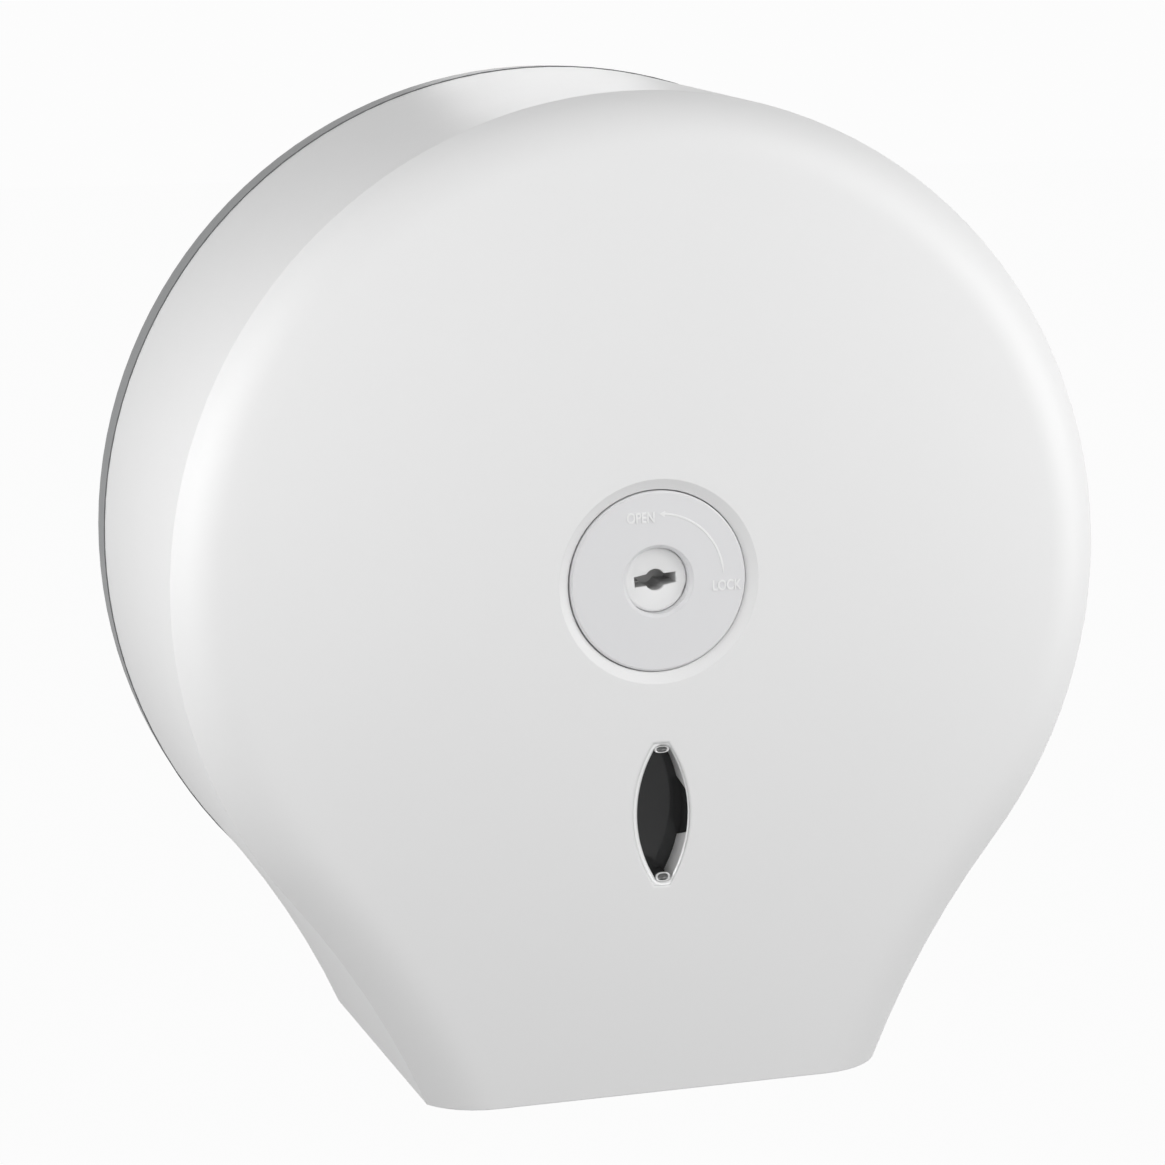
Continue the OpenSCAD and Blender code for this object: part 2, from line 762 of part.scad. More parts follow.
module housing_screws() {
  rear = housing_front - housing_flange_t;
  color(zinc) stand_up() at_each(housing_screws_at) translate([0, 0, rear]) {
    translate([0, 0, -weld])
      cylinder(r = housing_screw_r - tight, h = ledge_front + housing_screw_grip - rear + weld);
    difference() {
      translate([0, 0, -housing_head_t]) cylinder(r = housing_head_r, h = housing_head_t - tight);
      translate([0, 0, -housing_head_t/2 - housing_head_r]) cross_recess(housing_head_r);
    }
  }
}

module lock_wave_washer() {
  color(steel) stand_up() translate([0, 0, housing_floor_front + seat_gap])
    tube(flange_r - face_gap, stem_r + 2*face_gap, spring_t);
}

module keyhole_shape() {
  square([slot_len, slot_w], center = true);
  circle(r = key_pin_r);
}

// Square end of the barrel's stem, which turns the locking bar
module stem_square(play, height) {
  translate([0, 0, height/2])
    cube([2*(stem_half + play), 2*(stem_half + play), height], center = true);
}

module lock_barrel() {
  flange_rear = barrel_flange_front - barrel_flange_t;
  flange_h = barrel_flange_t - seat_gap/2;
  color(barrel_white) stand_up() difference() {
    union() {
      translate([0, 0, flange_rear]) {
        cylinder(r = barrel_r, h = barrel_face - flange_rear);
        cylinder(r = flange_r, h = flange_h);
        sector(stop_r, flange_h, -stop_angle/2, stop_angle/2);
      }
      translate([0, 0, bar_front]) cylinder(r = stem_r, h = flange_rear + weld - bar_front);
      translate([0, 0, bar_rear + bar_play]) stem_square(0, bar_t);
    }
    translate([0, 0, barrel_flange_front]) linear_extrude(body_depth) keyhole_shape();
    translate([0, 0, bar_rear - past]) cylinder(r = bar_screw_r, h = bar_screw_len + past);
  }
}

module locking_bar() {
  color(steel) stand_up() translate([0, 0, bar_rear]) difference() {
    linear_extrude(bar_t - bar_play) intersection() {
      circle(r = bar_len/2);
      square([bar_len + past, bar_w], center = true);
    }
    translate([0, 0, -past]) stem_square(bar_play, bar_t + 2*past);
  }
}

module bar_screw() {
  color(zinc) stand_up() translate([0, 0, bar_rear]) {
    translate([0, 0, -weld]) cylinder(r = bar_screw_r - tight, h = bar_screw_len);
    difference() {
      translate([0, 0, -bar_screw_head_t])
        cylinder(r = bar_screw_head_r, h = bar_screw_head_t - tight);
      translate([0, 0, -bar_screw_head_t/2 - bar_screw_head_r]) cross_recess(bar_screw_head_r);
    }
  }
}

// Places its children on the inside of the right foot wall: x runs outward through the
// wall, y up along it and z out from the wall behind the dispenser.
module on_foot_wall(side) {
  mirror([side > 0 ? 0 : 1, 0, 0])
    translate([foot_x(side_inset(strip_start, cover_wall) + face_gap, -foot_drop),
      -foot_drop, strip_start])
      rotate([0, 0, wall_lean - 90]) rotate([0, -lean_angle, 0]) children();
}

module tear_strip(side) {
  pitch = strip_len/tooth_count;
  root = tooth_h - strip_show;
  color(steel) stand_up() on_foot_wall(side) difference() {
    translate([-strip_t, 0, 0]) rotate([90, 0, 90]) linear_extrude(strip_t) polygon(concat(
      [[strip_h, 0], [strip_h, strip_len]],
      [for (i = [tooth_count - 1:-1:0]) each
        [[root, (i + 1)*pitch], [-strip_show, (i + 0.5)*pitch]]],
      [[root, 0]]
    ));
    for (z = rivet_at) translate([-strip_t - past, rivet_rise, z]) rotate([0, 90, 0])
      cylinder(r = rivet_r + rivet_play, h = strip_t + 2*past);
  }
}
module tear_strip_left() {
  tear_strip(-1);
}
module tear_strip_right() {
  tear_strip(1);
}

module tear_strip_rivets() {
  color(zinc) stand_up() for (side = [-1, 1]) on_foot_wall(side)
    for (z = rivet_at) translate([-strip_t, rivet_rise, z]) rotate([0, 90, 0]) {
      translate([0, 0, -rivet_head_t - rivet_play]) cylinder(r = rivet_head_r, h = rivet_head_t);
      translate([0, 0, -rivet_head_t/2]) cylinder(r = rivet_r, h = strip_t + rivet_head_t/2);
    }
}

back_plate();
spindle_post();
spindle_screws();
thrust_washer();
core_sleeve();
roll_stop_disc();
sleeve_retaining_clip();
latch_keeper();
keeper_screws();
hinge_pin_left();
hinge_pin_right();
front_cover();
window_lens();
lock_dial();
lock_housing();
housing_screws();
lock_wave_washer();
lock_barrel();
locking_bar();
bar_screw();
tear_strip_left();
tear_strip_right();
tear_strip_rivets();
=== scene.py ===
import math

import bmesh
import bpy
from bpy.props import FloatProperty, FloatVectorProperty, PointerProperty
from mathutils import Matrix, Vector


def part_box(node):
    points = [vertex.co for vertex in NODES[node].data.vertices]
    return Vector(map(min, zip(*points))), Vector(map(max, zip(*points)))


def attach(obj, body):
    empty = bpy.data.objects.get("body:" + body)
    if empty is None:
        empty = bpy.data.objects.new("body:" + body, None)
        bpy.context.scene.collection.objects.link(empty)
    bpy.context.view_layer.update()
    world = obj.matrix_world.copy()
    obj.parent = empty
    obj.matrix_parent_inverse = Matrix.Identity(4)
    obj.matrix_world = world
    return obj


bl_info = {
    "name": "Roll dispenser finishes",
    "version": (1, 0, 0),
    "blender": (4, 5, 0),
    "location": "View3D > Sidebar > Dispenser",
    "description": "Finishes, raised legend and stage of a wall dispenser for paper rolls",
    "category": "Object",
}

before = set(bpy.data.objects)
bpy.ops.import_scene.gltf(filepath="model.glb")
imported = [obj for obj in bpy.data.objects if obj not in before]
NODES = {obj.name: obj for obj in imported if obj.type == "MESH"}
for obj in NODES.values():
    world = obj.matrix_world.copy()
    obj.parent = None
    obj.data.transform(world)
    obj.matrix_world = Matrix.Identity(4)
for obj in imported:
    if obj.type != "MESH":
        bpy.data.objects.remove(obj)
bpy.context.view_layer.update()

# Nodes by finish
COVER_NODES = ["front_cover"]
WHITE_INNER_NODES = ["spindle_post"]
BARREL_NODES = ["lock_barrel"]
DIAL_NODES = ["lock_dial"]
BASE_NODES = ["back_plate"]
LENS_NODES = ["window_lens"]
NYLON_NODES = ["core_sleeve", "roll_stop_disc", "thrust_washer", "lock_housing"]
STEEL_NODES = ["sleeve_retaining_clip", "latch_keeper", "hinge_pin_left",
               "hinge_pin_right", "lock_wave_washer", "locking_bar",
               "tear_strip_left", "tear_strip_right"]
ZINC_NODES = ["spindle_screws", "keeper_screws", "housing_screws", "bar_screw",
              "tear_strip_rivets"]

MM = 0.001

# Level window in the cover's face: two side arcs that meet in rounded tips
COVER_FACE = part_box("front_cover")[0].y
WINDOW_HEIGHT = 39.6 * MM
WINDOW_WIDTH = 16 * MM
WINDOW_SIDE_RADIUS = 36 * MM
WINDOW_SIDE_MIDDLE = WINDOW_SIDE_RADIUS - WINDOW_WIDTH / 2
WINDOW_DROP = 64 * MM

# Rim of the window: it laps under the cover's edge and rounds over towards the lens
RIM_LAP = 2.4 * MM
RIM_DEPTH = 0.95 * MM
RIM_FLUSH = 0.02 * MM
RIM_CHAMFER = 0.05 * MM
RIM_REACH = 0.15 * MM
RIM_ROUNDING = 0.62  # share of the rim's width
RIM_SLOPE = math.radians(55)
RIM_STEPS = 6

# Side tabs of the lens: they widen towards the back
TAB_GAP = 0.5 * MM
TAB_WALL = 0.9 * MM
TAB_FRONT, TAB_FRONT_HALF = 1.5 * MM, 5.6 * MM
TAB_REAR, TAB_REAR_HALF = 8.8 * MM, 8.2 * MM
TAB_STEPS = 12

# Hooks at the ends of the lens: rise of their middle from the window's, and their height
HOOK_TOP = (18.0 * MM, 2.0 * MM)
HOOK_BOTTOM = (-17.6 * MM, 2.8 * MM)
HOOK_HALF_WIDTH = 2.2 * MM
HOOK_SHIFT = 0.35 * MM
HOOK_SINK = 1 * MM
HOOK_FOOT = 0.05 * MM
HOOK_SQUARENESS = 0.8  # 1 is a round hook, less is squarer
HOOK_CORNERS = 32
# Relative size and lift in millimetres, from a hook's foot over its lip to its middle
HOOK_RINGS = ((1.0, 0.0), (1.0, 0.3), (0.95, 0.6), (0.84, 0.76), (0.72, 0.66),
              (0.58, 0.3), (0.45, 0.12), (0.25, 0.06), (0.05, 0.05))
# Height of a hook at which the painted highlight on its lip begins and is complete
HOOK_HIGHLIGHT_FOOT = 0.4 * MM
HOOK_HIGHLIGHT_TOP = 0.62 * MM

# Keyhole and front of the lock barrel
KEY_SLOT_LENGTH = 11.6 * MM
KEY_SLOT_WIDTH = 2.8 * MM
KEY_MIDDLE_RADIUS = 2.9 * MM
KEY_EDGE = 0.3 * MM
KEY_END_STEPS, KEY_SIDE_STEPS, KEY_MIDDLE_STEPS = 6, 5, 14
# Depth below the barrel's face at which the painted shade in the keyhole begins and is complete
KEY_SHADE_START = 0.15 * MM
KEY_SHADE_END = 1.2 * MM
BARREL_RADIUS = 8.96 * MM
BARREL_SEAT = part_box("lock_barrel")[0].y + 0.1 * MM
NOSE_STEPS = 7

# Words and arc on the dial, seen from the front: middles of the words to the right and up
OPEN_PLACE = (-4.8 * MM, 17.3 * MM)
LOCK_PLACE = (19.1 * MM, -2.2 * MM)
LETTER_WEIGHT = 0.006  # share of the letter size
LETTER_BEVEL = 0.012  # share of the letter size
ARC_START = math.radians(4)
ARC_END = math.radians(84)
ARC_STEPS = 40
ARC_TAPER_STEPS = 6
ARC_TAPER_START = 0.35  # share of the full width at the arc's thin end
ARC_CREST = 0.55  # share of the width that the raised crest takes up
ARROW_LENGTH = 1.5 * MM
ARROW_HALF_WIDTH = 1.1  # in widths of the arc

# Lamps round the dispenser: degrees from the front and upwards, distance and size in metres
LAMPS = {
    "low_left": (-60, 5, 0.6, 0.35),
    "high_left": (-60, 20, 0.45, 0.25),
    "side": (-80, 10, 0.4, 0.2),
    "right": (60, 5, 0.6, 0.35),
    "high_right": (40, 30, 0.6, 0.35),
    "front": (0, 5, 0.8, 0.4),
}
LAMP_AIM = Vector((0, -60, 0)) * MM
TOP_LAMP_PLACE = Vector((30, 120, 220)) * MM
TOP_LAMP_AIM = Vector((20, -40, 130)) * MM
TOP_LAMP_SIZE = 0.1

# Floor and background, which look white and light the object only a little
FLOOR_HALF = 30.0
FLOOR_TONE = 0.86
FLOOR_WHITENESS = 0.96
BACKGROUND_TONE = 0.975

# Camera: turned and raised about a point inside the dispenser, and slightly rolled
CAMERA_AIM = Vector((-5.018, -60, -9.963)) * MM
CAMERA_DISTANCE = 874.292 * MM
CAMERA_TURN = -15.509
CAMERA_RISE = 10.377
CAMERA_ROLL = math.radians(-0.75)

# Refractive index of the plastics
PLASTIC_IOR = 1.49
# Edges that bend less than this are shaded as one smooth surface
SMOOTH_LIMIT = math.radians(30)
# Corners closer than this are one corner
MERGE_REACH = 2e-6


def millimetres(name, text, value, low, high):
    """A length property with its value in metres."""
    return FloatProperty(name=name, description=text, default=value * MM,
                         min=low * MM, max=high * MM, precision=5,
                         subtype="DISTANCE", unit="LENGTH")


def colour(name, text, value):
    """A colour property."""
    return FloatVectorProperty(name=name, description=text, default=value, size=3,
                               min=0.0, max=1.0, subtype="COLOR")


def share(name, text, value):
    """A number from 0 to 1."""
    return FloatProperty(name=name, description=text, default=value,
                         min=0.0, max=1.0, subtype="FACTOR")


def lamp_power(name, text, value):
    """The power of a lamp in watts."""
    return FloatProperty(name=name, description=text, default=value,
                         min=0.0, max=500.0, subtype="POWER", unit="POWER")


class DispenserPlastics(bpy.types.PropertyGroup):
    """Colours and gloss of the moulded parts"""
    cover_colour: colour("Cover", "Colour of the white front cover", (0.83, 0.83, 0.83))
    cover_gloss: share("Cover roughness", "Roughness of the cover's face", 0.42)
    barrel_colour: colour("Barrel", "Colour of the white lock barrel", (0.86, 0.86, 0.86))
    dial_colour: colour("Dial", "Colour of the pale grey dial", (0.77, 0.77, 0.78))
    dial_gloss: share("Dial roughness", "Roughness of the dial", 0.5)
    base_colour: colour("Back plate", "Colour of the grey back plate", (0.15, 0.155, 0.16))
    base_gloss: share("Back plate roughness", "Roughness of the back plate", 0.4)
    nylon_colour: colour("Nylon", "Colour of the inner nylon parts", (0.78, 0.78, 0.73))
    nylon_gloss: share("Nylon roughness", "Roughness of the inner nylon parts", 0.45)
    grain: millimetres("Grain", "Size of the moulded grain", 0.45, 0.1, 2.0)
    edge_softness: millimetres("Edge softness", "Radius of the moulded edges", 0.35, 0.0, 1.0)
    nose_depth: millimetres("Barrel depth", "Depth of the barrel's face below the dial",
                            3.0, 1, 10)
    nose_round: millimetres("Barrel rounding", "Radius of the barrel's outer edge", 1.1, 0.1, 3)
    # Tone of the painted shade that darkens the keyhole's inside with depth
    keyhole_shade_tone: share("Keyhole tone", "Tone of the keyhole's inside", 0.58)
    key_tilt: FloatProperty(name="Key slot tilt", description="Turn of the key slot",
                            default=math.radians(4.5), min=-0.5, max=0.5, subtype="ANGLE")


class DispenserWindow(bpy.types.PropertyGroup):
    """Look of the level window"""
    # The lens's dark tint is painted shade: it darkens the view into the housing
    lens_shade_tint: colour("Lens", "Tint of the smoked lens", (0.068, 0.069, 0.07))
    lens_gloss: share("Lens roughness", "Roughness of the lens", 0.12)
    lens_clear: share("Lens clearness", "Share of light that passes into the lens", 0.45)
    # The hooks are coloured bright only at their lip and dark below it: a painted highlight on
    # clear plastic
    hook_highlight_colour: colour("Hooks", "Colour of the clear ends of the lens", (0.88, 0.88, 0.88))
    hook_shade_tone: share("Hook tone", "Tone of the hooks away from their lip", 0.12)
    rim_colour: colour("Rim", "Colour of the window's rim", (0.9, 0.9, 0.9))
    rim_gloss: share("Rim roughness", "Roughness of the window's rim", 0.16)
    rim_width: millimetres("Rim width", "Width of the rounded rim", 0.95, 0.3, 2.0)
    rim_shift: millimetres("Rim shift", "Shift of the rim's inner edge to the right",
                           0.5, 0.0, 0.7)
    lip_width: millimetres("Lip width", "Width of the cover's softened edge round the window",
                           0.9, 0.2, 2.0)
    lip_height: millimetres("Lip height", "Drop of the cover's softened edge", 0.3, 0.0, 1.0)


class DispenserMetals(bpy.types.PropertyGroup):
    """Colours of the metal parts"""
    steel_colour: colour("Steel", "Colour of the bright steel parts", (0.62, 0.63, 0.64))
    steel_gloss: share("Steel roughness", "Roughness of the steel", 0.32)
    zinc_colour: colour("Zinc", "Colour of the plated screws", (0.55, 0.57, 0.59))
    zinc_gloss: share("Zinc roughness", "Roughness of the plated screws", 0.4)


class DispenserLegend(bpy.types.PropertyGroup):
    """Raised words and arc on the dial"""
    letter_size: millimetres("Letter size", "Height of the type", 3.9, 2.0, 8.0)
    letter_width: share("Letter width", "Width of the condensed letters", 0.78)
    raised: millimetres("Raised by", "Height of the marks above the dial", 0.16, 0.05, 0.6)
    arc_radius: millimetres("Arc radius", "Radius of the arc between the words", 18.3, 10, 22)
    arc_width: millimetres("Arc width", "Width of the arc", 0.75, 0.2, 1.5)
    # The marks are coloured lighter than the dial: a painted highlight on their raised faces
    legend_highlight_colour: colour("Legend", "Colour of the raised marks", (0.88, 0.88, 0.88))
    legend_gloss: share("Legend roughness", "Roughness of the raised marks", 0.35)


class DispenserStage(bpy.types.PropertyGroup):
    """Floor, lamps and camera"""
    floor_drop: millimetres("Floor", "Distance of the floor below the spindle axis",
                            1400, 145, 2000)
    low_left_power: lamp_power("Low left lamp", "Power of the soft lamp at the left", 0.5)
    high_left_power: lamp_power("High left lamp", "Power of the near lamp at the left", 0.3)
    side_power: lamp_power("Side lamp", "Power of the lamp beside the left wall", 0.26)
    right_power: lamp_power("Right lamp", "Power of the soft lamp at the right", 1.12)
    high_right_power: lamp_power("High right lamp", "Power of the lamp at the upper right",
                                 0.72)
    front_power: lamp_power("Front lamp", "Power of the lamp in front", 1.25)
    top_power: lamp_power("Top lamp", "Power of the small lamp above the top edge", 0.066)
    room_light: FloatProperty(name="Room light", description="Strength of the even room light",
                              default=0.3, min=0.0, max=2.0)
    lens: FloatProperty(name="Camera lens", description="Focal length on a 36 mm frame",
                        default=94.62, min=20.0, max=300.0)


# Node trees

def add(tree, kind, **settings):
    """Adds a node. Settings named after a socket set it, the rest set the node itself."""
    node = tree.nodes.new(kind)
    for key, value in settings.items():
        socket = key.replace("_", " ")
        match = next((s for s in node.inputs if s.name.lower() == socket.lower()), None)
        if match is not None and not hasattr(type(node), key):
            match.default_value = value
        else:
            setattr(node, key, value)
    return node


def link(tree, source, out_name, target, in_name):
    """Joins two nodes by the names of their sockets."""
    tree.links.new(source.outputs[out_name], target.inputs[in_name])


def wire(tree, source, target, place=0):
    """Joins the first output of a node to an input of another by its place."""
    tree.links.new(source.outputs[0], target.inputs[place])


def find(tree, kind):
    """The first node of a kind."""
    return next(node for node in tree.nodes if node.bl_idname == kind)


def blank(name):
    """A material with an output and nothing else."""
    material = bpy.data.materials.new(name)
    material.use_nodes = True
    tree = material.node_tree
    tree.nodes.clear()
    return material, tree, add(tree, "ShaderNodeOutputMaterial")


def surface(name):
    """A material with an output and a shader, and the object's own coordinates."""
    material, tree, output = blank(name)
    shader = add(tree, "ShaderNodeBsdfPrincipled")
    coords = add(tree, "ShaderNodeTexCoord")
    link(tree, shader, "BSDF", output, "Surface")
    return material, tree, shader, coords


def colour_mix(tree, **settings):
    """A mix of two colours: its node, its two colour inputs and its colour output."""
    node = add(tree, "ShaderNodeMix", data_type="RGBA", **settings)
    tones = [socket for socket in node.inputs if socket.type == "RGBA"]
    result = next(socket for socket in node.outputs if socket.type == "RGBA")
    return node, tones, result


def without_depth(tree, coords):
    """The object's coordinates with the depth set to 0."""
    flat = add(tree, "ShaderNodeVectorMath", operation="MULTIPLY")
    flat.inputs[1].default_value = (1, 0, 1)
    link(tree, coords, "Object", flat, "Vector")
    return flat


def vary_colour(tree, coords, shader, base, amount, size):
    """Blends the base colour softly with a close darker tone, in patches of a given size."""
    patches = add(tree, "ShaderNodeTexNoise", Scale=1.0 / size, Detail=3.0, Roughness=0.6)
    blend, tones, result = colour_mix(tree)
    tones[0].default_value = (*[c * (1.0 - amount) for c in base], 1.0)
    tones[1].default_value = (*base, 1.0)
    link(tree, coords, "Object", patches, "Vector")
    link(tree, patches, "Fac", blend, "Factor")
    tree.links.new(result, shader.inputs["Base Color"])


def vary_roughness(tree, coords, shader, middle, spread, size):
    """Lets the roughness drift about its middle value."""
    patches = add(tree, "ShaderNodeTexNoise", Scale=1.0 / size, Detail=4.0)
    levels = add(tree, "ShaderNodeMapRange")
    levels.inputs["To Min"].default_value = max(middle - spread, 0.02)
    levels.inputs["To Max"].default_value = min(middle + spread, 1.0)
    link(tree, coords, "Object", patches, "Vector")
    link(tree, patches, "Fac", levels, "Value")
    link(tree, levels, "Result", shader, "Roughness")


def moulded(name, base, roughness, grain, grain_height, edge=0.0, level=0.5):
    """Moulded plastic: two close tones, drifting gloss, a fine grain and soft edges."""
    material, tree, shader, coords = surface(name)
    vary_colour(tree, coords, shader, base, amount=0.012, size=0.03)
    vary_roughness(tree, coords, shader, roughness, spread=0.035, size=0.012)
    shader.inputs["IOR"].default_value = PLASTIC_IOR
    shader.inputs["Specular IOR Level"].default_value = level
    cells = add(tree, "ShaderNodeTexNoise", Scale=1.0 / grain, Detail=2.0, Roughness=0.55)
    bump = add(tree, "ShaderNodeBump", Strength=0.6, Distance=grain_height)
    link(tree, coords, "Object", cells, "Vector")
    link(tree, cells, "Fac", bump, "Height")
    if edge > 0:
        soft = add(tree, "ShaderNodeBevel", samples=4, Radius=edge)
        link(tree, soft, "Normal", bump, "Normal")
    link(tree, bump, "Normal", shader, "Normal")
    return material


def paint_shade_by_depth(material, darkest, front, deep, reach=None):
    """Paints shade: darkens a colour from one depth to another, within a reach of the spindle
    axis.
    """
    tree = material.node_tree
    shader = find(tree, "ShaderNodeBsdfPrincipled")
    coords = find(tree, "ShaderNodeTexCoord")
    parts = add(tree, "ShaderNodeSeparateXYZ")
    link(tree, coords, "Object", parts, "Vector")
    amount = add(tree, "ShaderNodeMapRange", interpolation_type="SMOOTHSTEP")
    amount.inputs["From Min"].default_value = front
    amount.inputs["From Max"].default_value = deep
    link(tree, parts, "Y", amount, "Value")
    if reach is not None:
        away = add(tree, "ShaderNodeVectorMath", operation="LENGTH")
        near = add(tree, "ShaderNodeMath", operation="LESS_THAN")
        near.inputs[1].default_value = reach
        inside = add(tree, "ShaderNodeMath", operation="MULTIPLY")
        wire(tree, without_depth(tree, coords), away)
        tree.links.new(away.outputs["Value"], near.inputs[0])
        wire(tree, near, inside, 0)
        wire(tree, amount, inside, 1)
        amount = inside
    shade, tones, result = colour_mix(tree, blend_type="MULTIPLY")
    tones[1].default_value = (darkest, darkest, darkest, 1.0)
    tree.links.new(amount.outputs[0], shade.inputs["Factor"])
    tree.links.new(shader.inputs["Base Color"].links[0].from_socket, tones[0])
    tree.links.new(result, shader.inputs["Base Color"])


def soften_window_edge(material, width, height):
    """Rolls the cover's face softly down to the edge of the window's opening."""
    tree = material.node_tree
    grain = find(tree, "ShaderNodeBump")
    flat = without_depth(tree, find(tree, "ShaderNodeTexCoord"))
    distances = []
    for x, radius in ((-WINDOW_SIDE_MIDDLE, WINDOW_SIDE_RADIUS),
                      (WINDOW_SIDE_MIDDLE, WINDOW_SIDE_RADIUS),
                      (0, WINDOW_HEIGHT / 2)):
        away = add(tree, "ShaderNodeVectorMath", operation="DISTANCE")
        away.inputs[1].default_value = (x, 0, -WINDOW_DROP)
        beyond = add(tree, "ShaderNodeMath", operation="SUBTRACT")
        beyond.inputs[1].default_value = radius
        wire(tree, flat, away)
        tree.links.new(away.outputs["Value"], beyond.inputs[0])
        distances.append(beyond)
    for first, second in ((0, 1), (2, 3)):
        most = add(tree, "ShaderNodeMath", operation="MAXIMUM")
        wire(tree, distances[first], most, 0)
        wire(tree, distances[second], most, 1)
        distances.append(most)
    fall = add(tree, "ShaderNodeMapRange")
    fall.inputs["From Max"].default_value = width
    fall.inputs["To Min"].default_value = 1.0
    fall.inputs["To Max"].default_value = 0.0
    square = add(tree, "ShaderNodeMath", operation="POWER")
    square.inputs[1].default_value = 2.0
    roll = add(tree, "ShaderNodeBump", Strength=1.0, Distance=height, invert=True)
    wire(tree, distances[-1], fall)
    link(tree, fall, "Result", square, "Value")
    link(tree, square, "Value", roll, "Height")
    tree.links.new(grain.inputs["Normal"].links[0].from_socket, roll.inputs["Normal"])
    link(tree, roll, "Normal", grain, "Normal")


def drawn_metal(name, base, roughness, streak, spread=0.07):
    """Bright metal with fine streaks along one direction."""
    material, tree, shader, coords = surface(name)
    vary_colour(tree, coords, shader, base, amount=0.05, size=0.004)
    shader.inputs["Metallic"].default_value = 1
    stretch = add(tree, "ShaderNodeMapping")
    stretch.inputs["Scale"].default_value = (1.0, 12.0, 12.0)
    streaks = add(tree, "ShaderNodeTexNoise", Scale=1.0 / streak, Detail=5.0)
    levels = add(tree, "ShaderNodeMapRange")
    levels.inputs["To Min"].default_value = roughness - spread
    levels.inputs["To Max"].default_value = roughness + spread
    bump = add(tree, "ShaderNodeBump", Strength=0.25, Distance=0.01 * MM)
    link(tree, coords, "Object", stretch, "Vector")
    link(tree, stretch, "Vector", streaks, "Vector")
    link(tree, streaks, "Fac", levels, "Value")
    link(tree, levels, "Result", shader, "Roughness")
    link(tree, streaks, "Fac", bump, "Height")
    link(tree, bump, "Normal", shader, "Normal")
    return material


def clear_plastic(name, tint, roughness, clearness, level):
    """Clear plastic with faint wipe marks."""
    material, tree, shader, coords = surface(name)
    vary_colour(tree, coords, shader, tint, amount=0.06, size=0.004)
    vary_roughness(tree, coords, shader, roughness, spread=0.03, size=0.003)
    shader.inputs["IOR"].default_value = PLASTIC_IOR
    shader.inputs["Specular IOR Level"].default_value = level
    shader.inputs["Transmission Weight"].default_value = clearness
    return material


# Shading of the solids

def smooth_group():
    """Node group that merges the corners of a solid and smooths its gentle edges."""
    group = bpy.data.node_groups.new("smooth_gentle_edges", "GeometryNodeTree")
    group.interface.new_socket("Geometry", in_out="INPUT", socket_type="NodeSocketGeometry")
    group.interface.new_socket("Geometry", in_out="OUTPUT", socket_type="NodeSocketGeometry")
    given = add(group, "NodeGroupInput")
    result = add(group, "NodeGroupOutput")
    merge = add(group, "GeometryNodeMergeByDistance", Distance=MERGE_REACH)
    plain = add(group, "GeometryNodeRemoveAttribute", Name="custom_normal")
    faces = add(group, "GeometryNodeSetShadeSmooth", domain="FACE")
    edges = add(group, "GeometryNodeSetShadeSmooth", domain="EDGE")
    angle = add(group, "GeometryNodeInputMeshEdgeAngle")
    gentle = add(group, "FunctionNodeCompare", data_type="FLOAT", operation="LESS_THAN")
    gentle.inputs["B"].default_value = SMOOTH_LIMIT
    link(group, given, "Geometry", merge, "Geometry")
    link(group, merge, "Geometry", plain, "Geometry")
    link(group, plain, "Geometry", faces, "Geometry")
    link(group, faces, "Geometry", edges, "Geometry")
    link(group, angle, "Unsigned Angle", gentle, "A")
    link(group, gentle, "Result", edges, "Shade Smooth")
    link(group, edges, "Geometry", result, "Geometry")
    return group


def smooth(node_object):
    """Gives a solid smooth shading without touching its mesh."""
    group = bpy.data.node_groups.get("smooth_gentle_edges") or smooth_group()
    modifier = node_object.modifiers.new("smooth_shading", "NODES")
    modifier.node_group = group


def finish_nodes(names, material):
    """Puts a material on CAD nodes and smooths their shading."""
    for name in names:
        node_object = NODES[name]
        node_object.data.materials.clear()
        node_object.data.materials.append(material)
        smooth(node_object)


# The raised legend on the dial

def dial_face():
    """Depth of the dial's front face along Y."""
    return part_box("lock_dial")[0].y


def upright(x, z, depth):
    """Stands flat work up on the dial: its x runs right and its y runs up."""
    turn = Matrix.Rotation(math.radians(90), 4, "X")
    return Matrix.Translation((x, depth, z)) @ turn


def raised_word(name, word, size, width, height, x, z):
    """A word in raised letters, centred at x, z."""
    letters = bpy.data.curves.new(name + "_type", "FONT")
    letters.body = word
    letters.size = size
    letters.align_x = "CENTER"
    letters.align_y = "CENTER"
    letters.extrude = height
    letters.offset = LETTER_WEIGHT * size
    letters.bevel_depth = LETTER_BEVEL * size
    letters.resolution_u = 6
    text_object = bpy.data.objects.new(name + "_type", letters)
    bpy.context.scene.collection.objects.link(text_object)
    bpy.context.view_layer.update()
    mesh = bpy.data.meshes.new_from_object(text_object)
    bpy.data.objects.remove(text_object)
    bpy.data.curves.remove(letters)
    mesh.transform(upright(x, z, dial_face()) @ Matrix.Diagonal((width, 1, 1, 1)))
    return link_mesh(name, mesh)


